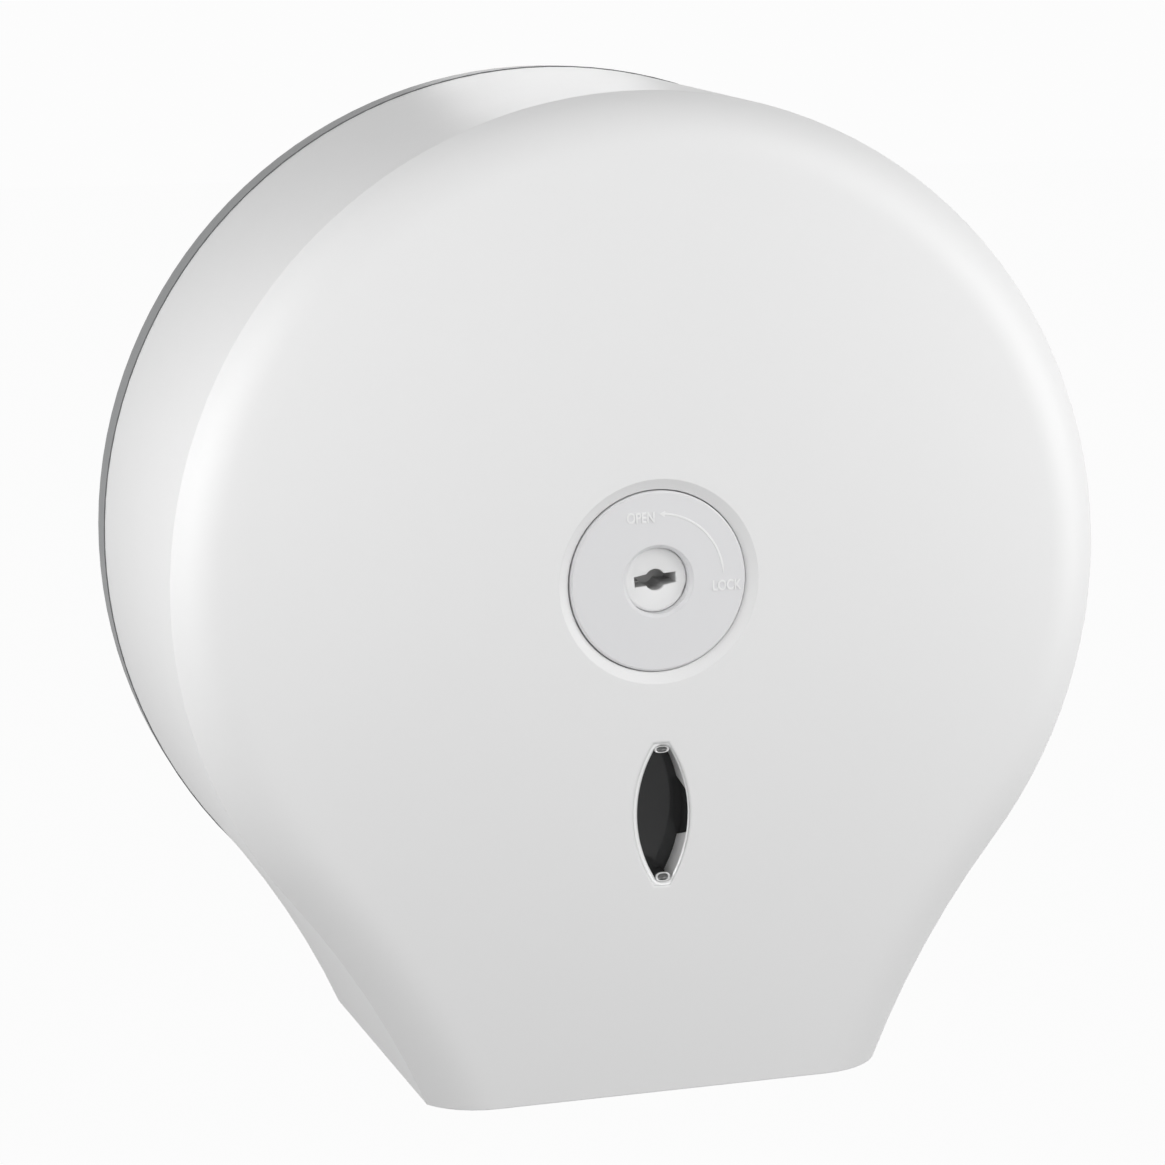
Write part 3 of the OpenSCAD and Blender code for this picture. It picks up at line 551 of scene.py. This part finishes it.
def raised_arc(name, radius, width, height, start, end):
    """A raised arc with an arrow head at its end. Angles run anticlockwise from the right."""
    shape = bmesh.new()

    def corner(angle, reach, level):
        return shape.verts.new((math.cos(angle) * reach, math.sin(angle) * reach, level))

    rings = []
    for i in range(ARC_STEPS + 1):
        angle = start + (end - start) * i / ARC_STEPS
        half = width / 2 * min(1.0, ARC_TAPER_START + i / ARC_TAPER_STEPS)
        rings.append([corner(angle, radius + half, -height),
                      corner(angle, radius + half * ARC_CREST, height),
                      corner(angle, radius - half * ARC_CREST, height),
                      corner(angle, radius - half, -height)])
    for a, b in zip(rings, rings[1:]):
        for k in range(4):
            shape.faces.new((a[k], a[(k + 1) % 4], b[(k + 1) % 4], b[k]))
    shape.faces.new(rings[0][::-1])
    shape.faces.new(rings[-1])
    arrow = [(end, radius + width * ARROW_HALF_WIDTH), (end + ARROW_LENGTH / radius, radius),
             (end, radius - width * ARROW_HALF_WIDTH)]
    low = [corner(angle, reach, -height) for angle, reach in arrow]
    top = [corner(angle, reach, height) for angle, reach in arrow]
    shape.faces.new(top)
    shape.faces.new(low[::-1])
    for k in range(3):
        shape.faces.new((low[k], low[(k + 1) % 3], top[(k + 1) % 3], top[k]))
    piece = solid(name, shape)
    piece.data.transform(upright(0, 0, dial_face()))
    return piece


def link_mesh(name, mesh):
    """Puts a mesh into the scene as a piece."""
    piece = bpy.data.objects.new(name, mesh)
    bpy.context.scene.collection.objects.link(piece)
    return piece


def solid(name, shape):
    """Turns a finished closed shape into a piece."""
    bmesh.ops.recalc_face_normals(shape, faces=shape.faces)
    mesh = bpy.data.meshes.new(name)
    shape.to_mesh(mesh)
    shape.free()
    return link_mesh(name, mesh)


def loft(name, rings, ends=False):
    """Joins rings of equally many points into a solid, closed by end faces or into a hoop."""
    shape = bmesh.new()
    rows = [[shape.verts.new(point) for point in ring] for ring in rings]
    count = len(rows[0])
    pairs = zip(rows, rows[1:]) if ends else zip(rows, rows[1:] + rows[:1])
    for a, b in pairs:
        for k in range(count):
            j = (k + 1) % count
            shape.faces.new((a[k], b[k], b[j], a[j]))
    if ends:
        shape.faces.new(rows[0])
        shape.faces.new(rows[-1])
    return solid(name, shape)


def seat(piece, material, body):
    """Gives a piece its material and slot, smooths it and lets it ride on a body."""
    piece.data.materials.clear()
    piece.data.materials.append(material)
    smooth(piece)
    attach(piece, body)


# Front end of the lock barrel

def keyhole_outline(tilt):
    """Points round the key slot with its round middle, turned by the tilt."""
    end, half = KEY_SLOT_LENGTH / 2, KEY_SLOT_WIDTH / 2
    meet = math.asin(half / KEY_MIDDLE_RADIUS)
    inner = math.cos(meet) * KEY_MIDDLE_RADIUS
    upper = [(end, half * (2 * k / KEY_END_STEPS - 1)) for k in range(KEY_END_STEPS)]
    upper += [(end + (inner - end) * k / KEY_SIDE_STEPS, half) for k in range(KEY_SIDE_STEPS)]
    for k in range(KEY_MIDDLE_STEPS):
        angle = meet + (math.pi - 2 * meet) * k / KEY_MIDDLE_STEPS
        upper.append((math.cos(angle) * KEY_MIDDLE_RADIUS, math.sin(angle) * KEY_MIDDLE_RADIUS))
    turn = Matrix.Rotation(tilt, 2)
    return [turn @ (Vector(point) * sign) for sign in (1, -1) for point in upper]


def barrel_nose(depth, rounding, tilt):
    """The front end of the lock barrel, with the keyhole through it and rounded edges."""
    face = dial_face() + depth
    hole = keyhole_outline(tilt)
    chamfer = 0.3 * KEY_EDGE
    rings = [[(p * (1 + grow / p.length), face + drop) for p in hole]
             for grow, drop in ((0, BARREL_SEAT - face), (0, KEY_EDGE), (chamfer, chamfer),
                                (KEY_EDGE, 0))]
    for k in range(NOSE_STEPS + 1):
        angle = math.pi / 2 * k / NOSE_STEPS
        reach = BARREL_RADIUS - rounding * (1 - math.sin(angle))
        drop = rounding * (1 - math.cos(angle))
        rings.append([(p.normalized() * reach, face + drop) for p in hole])
    rings.append([(p.normalized() * BARREL_RADIUS, BARREL_SEAT) for p in hole])
    return loft("barrel_nose", [[(p.x, y, p.y) for p, y in ring] for ring in rings])


# Rim, side tabs and hooks of the level window

def pointed_oval(inset, steps=20):
    """Points of the window's outline with rounded tips, and their outward directions."""
    middle = WINDOW_SIDE_MIDDLE
    side = WINDOW_SIDE_RADIUS - inset
    top = WINDOW_HEIGHT / 2 - inset
    tip = (side ** 2 - middle ** 2 - top ** 2) / (2 * (side - top))
    rise = top - tip
    join = math.atan2(rise, middle)
    arcs = [(-middle, 0, side, -join, join), (0, rise, tip, join, math.pi - join),
            (middle, 0, side, math.pi - join, math.pi + join),
            (0, -rise, tip, math.pi + join, 2 * math.pi - join)]
    outline = []
    for x, z, radius, start, end in arcs:
        for k in range(steps):
            angle = start + (end - start) * k / steps
            out = Vector((math.cos(angle), math.sin(angle)))
            outline.append((Vector((x, z)) + out * radius, out))
    return outline


def window_rim(width, shift):
    """Rounded rim inside the opening's edge, flush with the cover's face."""
    rounding = RIM_ROUNDING * width
    profile = [(RIM_LAP, RIM_DEPTH), (RIM_LAP, RIM_FLUSH)]
    for k in range(RIM_STEPS + 1):
        angle = RIM_SLOPE * k / RIM_STEPS
        profile.append((width - rounding * math.sin(angle),
                        RIM_FLUSH + rounding * (1 - math.cos(angle))))
    profile.append((0, RIM_DEPTH - RIM_CHAMFER))
    profile.append((RIM_CHAMFER, RIM_DEPTH))
    rings = [[(p.x + shift + out.x * along, COVER_FACE + drop,
               p.y + out.y * along - WINDOW_DROP) for along, drop in profile]
             for p, out in pointed_oval(width - RIM_REACH)]
    return loft("window_rim", rings)


def lens_tab(name, side):
    """Tab of the lens in the notch of the collar, at the right for side 1."""
    near = WINDOW_SIDE_RADIUS + TAB_GAP
    far = near + TAB_WALL
    corners = [(near, TAB_FRONT, TAB_FRONT_HALF), (far, TAB_FRONT, TAB_FRONT_HALF),
               (far, TAB_REAR, TAB_REAR_HALF), (near, TAB_REAR, TAB_REAR_HALF)]
    rings = []
    for k in range(TAB_STEPS + 1):
        ring = []
        for radius, drop, half in corners:
            z = half * (2 * k / TAB_STEPS - 1)
            x = math.sqrt(radius ** 2 - z ** 2) - WINDOW_SIDE_MIDDLE
            ring.append((side * x, COVER_FACE + drop, z - WINDOW_DROP))
        rings.append(ring)
    return loft(name, rings, ends=True)


def lens_hook(name, rise, height):
    """Clear end of the lens with a rounded lip, its middle above or below the window's."""

    def squared(value):
        return math.copysign(abs(value) ** HOOK_SQUARENESS, value)

    foot = COVER_FACE + HOOK_SINK + HOOK_FOOT
    rings = []
    for size, lift in HOOK_RINGS:
        ring = []
        for k in range(HOOK_CORNERS):
            angle = 2 * math.pi * k / HOOK_CORNERS
            x = squared(math.cos(angle)) * HOOK_HALF_WIDTH * size
            z = squared(math.sin(angle)) * height / 2 * size
            ring.append((x + HOOK_SHIFT, foot - lift * MM, rise - WINDOW_DROP + z))
        rings.append(ring)
    return loft(name, rings, ends=True)


class DISPENSER_OT_dress_cover(bpy.types.Operator):
    """Give the front cover its satin white plastic"""
    bl_idname = "dispenser.dress_cover"
    bl_label = "Dress cover"

    def execute(self, context):
        look = context.scene.dispenser_plastics
        window = context.scene.dispenser_window
        white = moulded("satin_white_plastic", look.cover_colour, look.cover_gloss,
                        look.grain, grain_height=0.012 * MM, edge=look.edge_softness)
        soften_window_edge(white, window.lip_width, window.lip_height)
        finish_nodes(COVER_NODES, white)
        return {"FINISHED"}


class DISPENSER_OT_dress_back_plate(bpy.types.Operator):
    """Give the back plate its grained grey plastic"""
    bl_idname = "dispenser.dress_back_plate"
    bl_label = "Dress back plate"

    def execute(self, context):
        look = context.scene.dispenser_plastics
        grey = moulded("grained_grey_plastic", look.base_colour, look.base_gloss,
                       look.grain * 1.6, grain_height=0.04 * MM,
                       edge=look.edge_softness, level=0.45)
        finish_nodes(BASE_NODES, grey)
        return {"FINISHED"}


class DISPENSER_OT_dress_lock(bpy.types.Operator):
    """Give the dial and the barrel their plastics"""
    bl_idname = "dispenser.dress_lock"
    bl_label = "Dress lock"

    def execute(self, context):
        look = context.scene.dispenser_plastics
        dial = moulded("satin_dial_plastic", look.dial_colour, look.dial_gloss,
                       look.grain, grain_height=0.01 * MM, edge=look.edge_softness,
                       level=0.4)
        barrel = moulded("white_barrel_plastic", look.barrel_colour, look.cover_gloss,
                         look.grain, grain_height=0.01 * MM,
                         edge=look.edge_softness * 0.6, level=0.45)
        # Painted shade: the barrel's colour darkens with depth inside the keyhole
        face = dial_face() + look.nose_depth
        paint_shade_by_depth(barrel, look.keyhole_shade_tone, face + KEY_SHADE_START,
                        face + KEY_SHADE_END, KEY_SLOT_LENGTH / 2 + KEY_EDGE)
        finish_nodes(DIAL_NODES, dial)
        finish_nodes(BARREL_NODES, barrel)
        nose = barrel_nose(look.nose_depth, look.nose_round, look.key_tilt)
        seat(nose, barrel, "barrel")
        return {"FINISHED"}


class DISPENSER_OT_dress_window(bpy.types.Operator):
    """Give the level window its lens, tinted dark as painted shade for the inside of the
    housing
    """
    bl_idname = "dispenser.dress_window"
    bl_label = "Dress window"

    def execute(self, context):
        look = context.scene.dispenser_window
        grain = context.scene.dispenser_plastics.grain
        # Painted shade: a dark tint on the lens and its tabs makes the inside of the housing
        # look dark
        lens = clear_plastic("smoked_clear_plastic", look.lens_shade_tint, look.lens_gloss,
                             look.lens_clear, level=0.05)
        clear = clear_plastic("clear_hook_plastic", look.hook_highlight_colour, roughness=0.06,
                              clearness=0.2, level=1.0)
        # Painted highlight: the hooks keep their bright colour at the lip and are darkened
        # below it
        seat_depth = COVER_FACE + HOOK_SINK
        paint_shade_by_depth(clear, look.hook_shade_tone, seat_depth - HOOK_HIGHLIGHT_TOP,
                        seat_depth - HOOK_HIGHLIGHT_FOOT)
        rim = moulded("polished_rim_plastic", look.rim_colour, look.rim_gloss, grain,
                      grain_height=0.004 * MM, level=1.0)
        finish_nodes(LENS_NODES, lens)
        seat(window_rim(look.rim_width, look.rim_shift), rim, "cover")
        seat(lens_tab("lens_tab_right", 1), lens, "cover")
        seat(lens_tab("lens_tab_left", -1), lens, "cover")
        seat(lens_hook("lens_hook_top", *HOOK_TOP), clear, "cover")
        seat(lens_hook("lens_hook_bottom", *HOOK_BOTTOM), clear, "cover")
        return {"FINISHED"}


class DISPENSER_OT_dress_core(bpy.types.Operator):
    """Give the spindle, the core sleeve and the lock housing their plastics"""
    bl_idname = "dispenser.dress_core"
    bl_label = "Dress core"

    def execute(self, context):
        look = context.scene.dispenser_plastics
        nylon = moulded("natural_nylon", look.nylon_colour, look.nylon_gloss,
                        look.grain, grain_height=0.02 * MM, edge=look.edge_softness,
                        level=0.45)
        white = moulded("white_post_plastic", look.barrel_colour, look.cover_gloss,
                        look.grain, grain_height=0.01 * MM, edge=look.edge_softness,
                        level=0.45)
        finish_nodes(NYLON_NODES, nylon)
        finish_nodes(WHITE_INNER_NODES, white)
        return {"FINISHED"}


class DISPENSER_OT_dress_metal(bpy.types.Operator):
    """Give the pins, strips, clips and screws their metals"""
    bl_idname = "dispenser.dress_metal"
    bl_label = "Dress metal"

    def execute(self, context):
        look = context.scene.dispenser_metals
        steel = drawn_metal("bright_steel", look.steel_colour, look.steel_gloss,
                            streak=2 * MM)
        zinc = drawn_metal("zinc_plating", look.zinc_colour, look.zinc_gloss, streak=1 * MM)
        finish_nodes(STEEL_NODES, steel)
        finish_nodes(ZINC_NODES, zinc)
        return {"FINISHED"}


class DISPENSER_OT_raise_legend(bpy.types.Operator):
    """Raise the two words and the arc on the dial"""
    bl_idname = "dispenser.raise_legend"
    bl_label = "Raise legend"

    def execute(self, context):
        legend = context.scene.dispenser_legend
        plastics = context.scene.dispenser_plastics
        # Painted highlight: the raised marks get a lighter colour than the dial
        finish = moulded("legend_plastic", legend.legend_highlight_colour, legend.legend_gloss,
                         plastics.grain, grain_height=0.005 * MM)
        size, width, raised = legend.letter_size, legend.letter_width, legend.raised
        marks = [
            raised_word("dial_word_open", "OPEN", size, width, raised, *OPEN_PLACE),
            raised_word("dial_word_lock", "LOCK", size, width, raised, *LOCK_PLACE),
            raised_arc("dial_arc", legend.arc_radius, legend.arc_width, raised,
                       ARC_START, ARC_END),
        ]
        for mark in marks:
            mark.data.materials.clear()
            mark.data.materials.append(finish)
            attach(mark, "cover")
        return {"FINISHED"}


# Stage

def flat_floor():
    """A large level floor."""
    corners = [(x * FLOOR_HALF, y * FLOOR_HALF, 0)
               for x, y in ((-1, -1), (1, -1), (1, 1), (-1, 1))]
    mesh = bpy.data.meshes.new("studio_floor")
    mesh.from_pydata(corners, [], [(0, 1, 2, 3)])
    return link_mesh("studio_floor", mesh)


def seen_directly(tree):
    """1 for rays that come from the camera, a reflection or a see-through surface."""
    path = add(tree, "ShaderNodeLightPath")
    first = add(tree, "ShaderNodeMath", operation="MAXIMUM")
    second = add(tree, "ShaderNodeMath", operation="MAXIMUM")
    tree.links.new(path.outputs["Is Camera Ray"], first.inputs[0])
    tree.links.new(path.outputs["Is Glossy Ray"], first.inputs[1])
    wire(tree, first, second)
    tree.links.new(path.outputs["Is Transmission Ray"], second.inputs[1])
    return second


def floor_material():
    """Pale floor that looks white and still takes the object's shadow."""
    material, tree, output = blank("pale_floor")
    matt = add(tree, "ShaderNodeBsdfDiffuse", Color=(FLOOR_TONE, FLOOR_TONE, FLOOR_TONE, 1))
    glow = add(tree, "ShaderNodeEmission", Color=(1, 1, 1, 1), Strength=1.0)
    mix = add(tree, "ShaderNodeMixShader")
    whiteness = add(tree, "ShaderNodeMath", operation="MULTIPLY")
    whiteness.inputs[1].default_value = FLOOR_WHITENESS
    wire(tree, seen_directly(tree), whiteness)
    for place, source in enumerate((whiteness, matt, glow)):
        wire(tree, source, mix, place)
    wire(tree, mix, output)
    return material


def room(strength):
    """Even room light with a white background."""
    world = bpy.data.worlds.new("studio_room")
    world.use_nodes = True
    tree = world.node_tree
    tree.nodes.clear()
    output = add(tree, "ShaderNodeOutputWorld")
    light = add(tree, "ShaderNodeBackground", Color=(1, 1, 1, 1), Strength=strength)
    back = add(tree, "ShaderNodeBackground", Strength=1.0,
               Color=(BACKGROUND_TONE, BACKGROUND_TONE, BACKGROUND_TONE, 1))
    mix = add(tree, "ShaderNodeMixShader")
    for place, source in enumerate((seen_directly(tree), light, back)):
        wire(tree, source, mix, place)
    wire(tree, mix, output)
    bpy.context.scene.world = world


def direction(turn, rise):
    """A direction that is turned from the front and raised, both in degrees."""
    turn, rise = math.radians(turn), math.radians(rise)
    return Vector((math.sin(turn) * math.cos(rise), -math.cos(turn) * math.cos(rise),
                   math.sin(rise)))


def lamp(name, place, aim, size, power):
    """A soft square lamp that points at a place."""
    data = bpy.data.lights.new(name, "AREA")
    data.shape = "SQUARE"
    data.size = size
    data.energy = power
    item = bpy.data.objects.new(name, data)
    item.location = place
    item.rotation_mode = "QUATERNION"
    item.rotation_quaternion = (Vector(aim) - Vector(place)).to_track_quat("-Z", "Y")
    item.visible_camera = False
    bpy.context.scene.collection.objects.link(item)


def place_camera(lens):
    """Stands the camera where the photograph was taken from."""
    back = direction(CAMERA_TURN, CAMERA_RISE)
    right = direction(CAMERA_TURN + 90, 0)
    up = back.cross(right)
    rolled_right = right * math.cos(CAMERA_ROLL) + up * math.sin(CAMERA_ROLL)
    rolled_up = up * math.cos(CAMERA_ROLL) - right * math.sin(CAMERA_ROLL)
    turn = Matrix((rolled_right, rolled_up, back)).transposed().to_4x4()
    data = bpy.data.cameras.new("studio_camera")
    data.lens = lens
    data.sensor_width = 36.0
    data.clip_start = 0.01
    data.clip_end = 50.0
    camera = bpy.data.objects.new("studio_camera", data)
    camera.matrix_world = Matrix.Translation(CAMERA_AIM + back * CAMERA_DISTANCE) @ turn
    bpy.context.scene.collection.objects.link(camera)
    bpy.context.scene.camera = camera


class DISPENSER_OT_set_stage(bpy.types.Operator):
    """Lay the floor, hang the lamps and stand the camera"""
    bl_idname = "dispenser.set_stage"
    bl_label = "Set stage"

    def execute(self, context):
        stage = context.scene.dispenser_stage
        floor = flat_floor()
        floor.location.z = -stage.floor_drop
        floor.data.materials.append(floor_material())
        room(stage.room_light)
        for name, (turn, rise, distance, size) in LAMPS.items():
            place = LAMP_AIM + direction(turn, rise) * distance
            lamp(name + "_lamp", place, LAMP_AIM, size, getattr(stage, name + "_power"))
        lamp("top_lamp", TOP_LAMP_PLACE, TOP_LAMP_AIM, TOP_LAMP_SIZE, stage.top_power)
        place_camera(stage.lens)
        context.scene.view_settings.view_transform = "Standard"
        return {"FINISHED"}


class DISPENSER_PT_panel(bpy.types.Panel):
    """Buttons that dress the dispenser"""
    bl_idname = "DISPENSER_PT_panel"
    bl_label = "Roll dispenser"
    bl_space_type = "VIEW_3D"
    bl_region_type = "UI"
    bl_category = "Dispenser"

    def draw(self, context):
        for operator in OPERATORS:
            self.layout.operator(operator.bl_idname)
        for group in GROUPS:
            box = self.layout.box()
            settings = getattr(context.scene, GROUPS[group])
            for key in group.__annotations__:
                box.prop(settings, key)


GROUPS = {
    DispenserPlastics: "dispenser_plastics",
    DispenserWindow: "dispenser_window",
    DispenserMetals: "dispenser_metals",
    DispenserLegend: "dispenser_legend",
    DispenserStage: "dispenser_stage",
}
OPERATORS = [
    DISPENSER_OT_dress_cover,
    DISPENSER_OT_dress_back_plate,
    DISPENSER_OT_dress_lock,
    DISPENSER_OT_dress_window,
    DISPENSER_OT_dress_core,
    DISPENSER_OT_dress_metal,
    DISPENSER_OT_raise_legend,
    DISPENSER_OT_set_stage,
]


def register():
    """Adds the groups, the buttons and the panel."""
    for group, name in GROUPS.items():
        bpy.utils.register_class(group)
        setattr(bpy.types.Scene, name, PointerProperty(type=group))
    for item in [*OPERATORS, DISPENSER_PT_panel]:
        bpy.utils.register_class(item)


def unregister():
    """Takes the panel, the buttons and the groups out again."""
    for item in [DISPENSER_PT_panel, *reversed(OPERATORS)]:
        bpy.utils.unregister_class(item)
    for group, name in GROUPS.items():
        delattr(bpy.types.Scene, name)
        bpy.utils.unregister_class(group)


def main():
    """Dresses the dispenser and sets the stage."""
    register()
    bpy.ops.dispenser.dress_cover()
    bpy.ops.dispenser.dress_back_plate()
    bpy.ops.dispenser.dress_lock()
    bpy.ops.dispenser.dress_window()
    bpy.ops.dispenser.dress_core()
    bpy.ops.dispenser.dress_metal()
    bpy.ops.dispenser.raise_legend()
    bpy.ops.dispenser.set_stage()
    bpy.context.view_layer.update()


if __name__ == "__main__":
    main()
